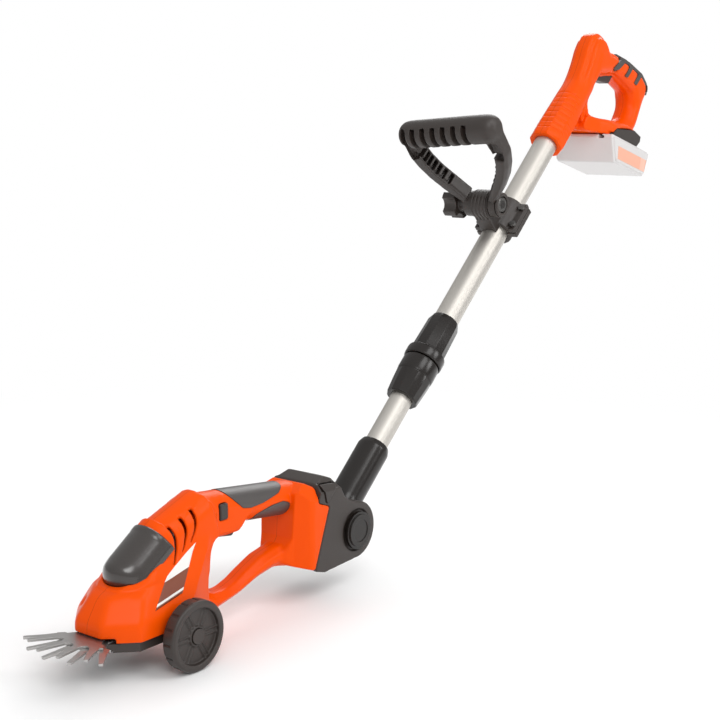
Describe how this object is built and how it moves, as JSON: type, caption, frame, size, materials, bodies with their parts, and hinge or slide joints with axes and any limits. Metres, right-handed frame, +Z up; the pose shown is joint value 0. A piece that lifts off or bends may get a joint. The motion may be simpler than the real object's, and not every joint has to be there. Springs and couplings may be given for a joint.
{
  "type": "cordless grass shears",
  "caption": "Cordless grass shears on a telescopic pole: wheeled comb-blade head on a tilting dock, adjustable loop handle and a rear grip with a slide-on battery.",
  "frame": {"origin": "on the ground under the middle of the wheel axle", "axes": "+X back along the tool from the blades to the rear handle, +Y across to the side of the wing knob, +Z up"},
  "size_m": [0.9127, 0.1166, 0.5108],
  "materials": {
    "orange_shell": "moulded satin",
    "dark_plastic": "moulded, fine grain",
    "soft_pad": "matt",
    "dark_window": "glossy",
    "blade_steel": "ground",
    "fastener_steel": "zinc plated",
    "tube_alu": "satin anodised",
    "motor_steel": "satin",
    "gear_nylon": "natural",
    "pale_case": "satin",
    "printed_label": "film",
    "cell_wrap": "film"
  },
  "bodies": {
    "handle": {"upper_tube": "tube_alu", "collar_sleeve": "dark_plastic", "click_discs": "dark_plastic", "loop_bolt": "motor_steel", "clamp_front": "dark_plastic", "clamp_rear": "dark_plastic", "clamp_screws": "fastener_steel", "rear_shell_left": "orange_shell", "rear_shell_right": "orange_shell", "rear_grip_pad": "soft_pad", "rear_switch": "dark_plastic", "rear_dock": "dark_plastic", "rear_screws": "fastener_steel"},
    "nut": {"lock_nut": "dark_plastic"},
    "loop": {"loop_handle": "dark_plastic"},
    "knob": {"wing_knob": "dark_plastic"},
    "rear_trigger_body": {"rear_trigger": "dark_plastic"},
    "rear_lock_body": {"rear_lock_off": "dark_plastic"},
    "battery": {"battery_case": "pale_case", "battery_lid": "dark_plastic", "battery_cells": "cell_wrap", "battery_label": "printed_label"},
    "battery_latch": {"battery_button": "orange_shell"},
    "lower_pole": {"lower_tube": "tube_alu", "pivot_socket": "dark_plastic"},
    "adapter": {"adapter_left": "dark_plastic", "adapter_right": "dark_plastic", "adapter_screws": "fastener_steel", "pivot_bolt": "motor_steel"},
    "tilt_button": {"pivot_button": "dark_plastic"},
    "release_left": {"release_button_left": "dark_plastic"},
    "release_right": {"release_button_right": "dark_plastic"},
    "head": {"head_shell_left": "orange_shell", "head_shell_right": "orange_shell", "nose_window": "dark_window", "head_grip_top": "soft_pad", "head_grip_under": "soft_pad", "side_label": "printed_label", "head_base": "dark_plastic", "gear_plate": "dark_plastic", "motor_can": "motor_steel", "crank_post": "fastener_steel", "lower_blade": "blade_steel", "blade_pivot": "fastener_steel", "blade_screws": "fastener_steel", "head_switch": "dark_plastic", "head_terminals": "dark_plastic", "head_screws": "fastener_steel", "base_screws": "fastener_steel", "wheel_bracket": "dark_plastic", "wheel_axle": "fastener_steel", "axle_caps": "dark_plastic"},
    "rotor": {"motor_rotor": "motor_steel"},
    "crank": {"crank_gear": "gear_nylon"},
    "knife": {"upper_blade": "blade_steel"},
    "trigger": {"head_trigger": "dark_plastic"},
    "lock_off": {"head_lock_off": "dark_plastic"},
    "wheel_l": {"wheel_left": "dark_plastic"},
    "wheel_r": {"wheel_right": "dark_plastic"}
  },
  "joints": [
    {"name": "pole_telescope", "type": "slide", "parent": "handle", "child": "lower_pole", "axis": [-0.7385, 0, -0.6743], "range_m": [0, 0.2]},
    {"name": "lock_nut_twist", "type": "hinge", "parent": "handle", "child": "nut", "pos_m": [0.2237, 0, 0.05475], "axis": [0.7385, 0, 0.6743], "range_deg": [0, 60]},
    {"name": "loop_tilt", "type": "hinge", "parent": "handle", "child": "loop", "pos_m": [0.47198, 0, 0.33156], "axis": [0, 1, 0], "range_deg": [-35, 30]},
    {"name": "knob_turn", "type": "hinge", "parent": "handle", "child": "knob", "pos_m": [0.47198, 0, 0.33156], "axis": [0, 1, 0], "range_deg": [0, 180]},
    {"name": "rear_trigger_press", "type": "slide", "parent": "handle", "child": "rear_trigger_body", "axis": [0.2419, 0, 0.9703], "range_m": [0, 0.005], "stiffness_N_per_m": 600, "springref_m": -0.004},
    {"name": "rear_lock_press", "type": "slide", "parent": "handle", "child": "rear_lock_body", "axis": [-0.2419, 0, -0.9703], "range_m": [0, 0.0025], "stiffness_N_per_m": 600, "springref_m": -0.004},
    {"name": "battery_slide", "type": "slide", "parent": "handle", "child": "battery", "axis": [0.9703, 0, -0.2419], "range_m": [0, 0.085]},
    {"name": "battery_latch_press", "type": "slide", "parent": "battery", "child": "battery_latch", "axis": [-0.9703, 0, 0.2419], "range_m": [0, 0.0025], "stiffness_N_per_m": 600, "springref_m": -0.004},
    {"name": "head_tilt", "type": "hinge", "parent": "lower_pole", "child": "adapter", "pos_m": [0.2237, 0, 0.05475], "axis": [0, 1, 0], "range_deg": [-30, 40]},
    {"name": "tilt_button_press", "type": "slide", "parent": "adapter", "child": "tilt_button", "axis": [0, 1, 0], "range_m": [0, 0.003], "stiffness_N_per_m": 600, "springref_m": -0.004},
    {"name": "release_left_press", "type": "slide", "parent": "adapter", "child": "release_left", "axis": [0, 1, 0], "range_m": [0, 0.003], "stiffness_N_per_m": 600, "springref_m": -0.004},
    {"name": "release_right_press", "type": "slide", "parent": "adapter", "child": "release_right", "axis": [0, -1, 0], "range_m": [0, 0.003], "stiffness_N_per_m": 600, "springref_m": -0.004},
    {"name": "head_undock", "type": "slide", "parent": "adapter", "child": "head", "axis": [-0.342, 0, -0.9397], "range_m": [0, 0.07]},
    {"name": "crank_turn", "type": "hinge", "parent": "head", "child": "crank", "pos_m": [-0.0133, 0, 0.00175], "axis": [0, 0, 1], "range_deg": [-90, 90]},
    {"name": "rotor_spin", "type": "hinge", "parent": "head", "child": "rotor", "pos_m": [0.0155, 0, 0.00175], "axis": [0, 0, 1], "range_deg": [-338, 338]},
    {"name": "knife_swing", "type": "hinge", "parent": "head", "child": "knife", "pos_m": [-0.0463, 0, 0.00175], "axis": [0, 0, 1], "range_deg": [-8, 8]},
    {"name": "trigger_press", "type": "slide", "parent": "head", "child": "trigger", "axis": [0, 0, 1], "range_m": [0, 0.005], "stiffness_N_per_m": 600, "springref_m": -0.004},
    {"name": "lock_off_press", "type": "slide", "parent": "head", "child": "lock_off", "axis": [0, 1, 0], "range_m": [0, 0.003], "stiffness_N_per_m": 600, "springref_m": -0.004},
    {"name": "wheel_left_roll", "type": "hinge", "parent": "head", "child": "wheel_l", "pos_m": [0, 0, 0.02795], "axis": [0, 1, 0], "continuous": true},
    {"name": "wheel_right_roll", "type": "hinge", "parent": "head", "child": "wheel_r", "pos_m": [0, 0, 0.02795], "axis": [0, 1, 0], "continuous": true}
  ],
  "couplings": [
    {"joint": "rotor_spin", "follows": "crank_turn", "ratio": -3.75},
    {"joint": "knife_swing", "follows": "crank_turn", "ratio": 0.085}
  ]
}
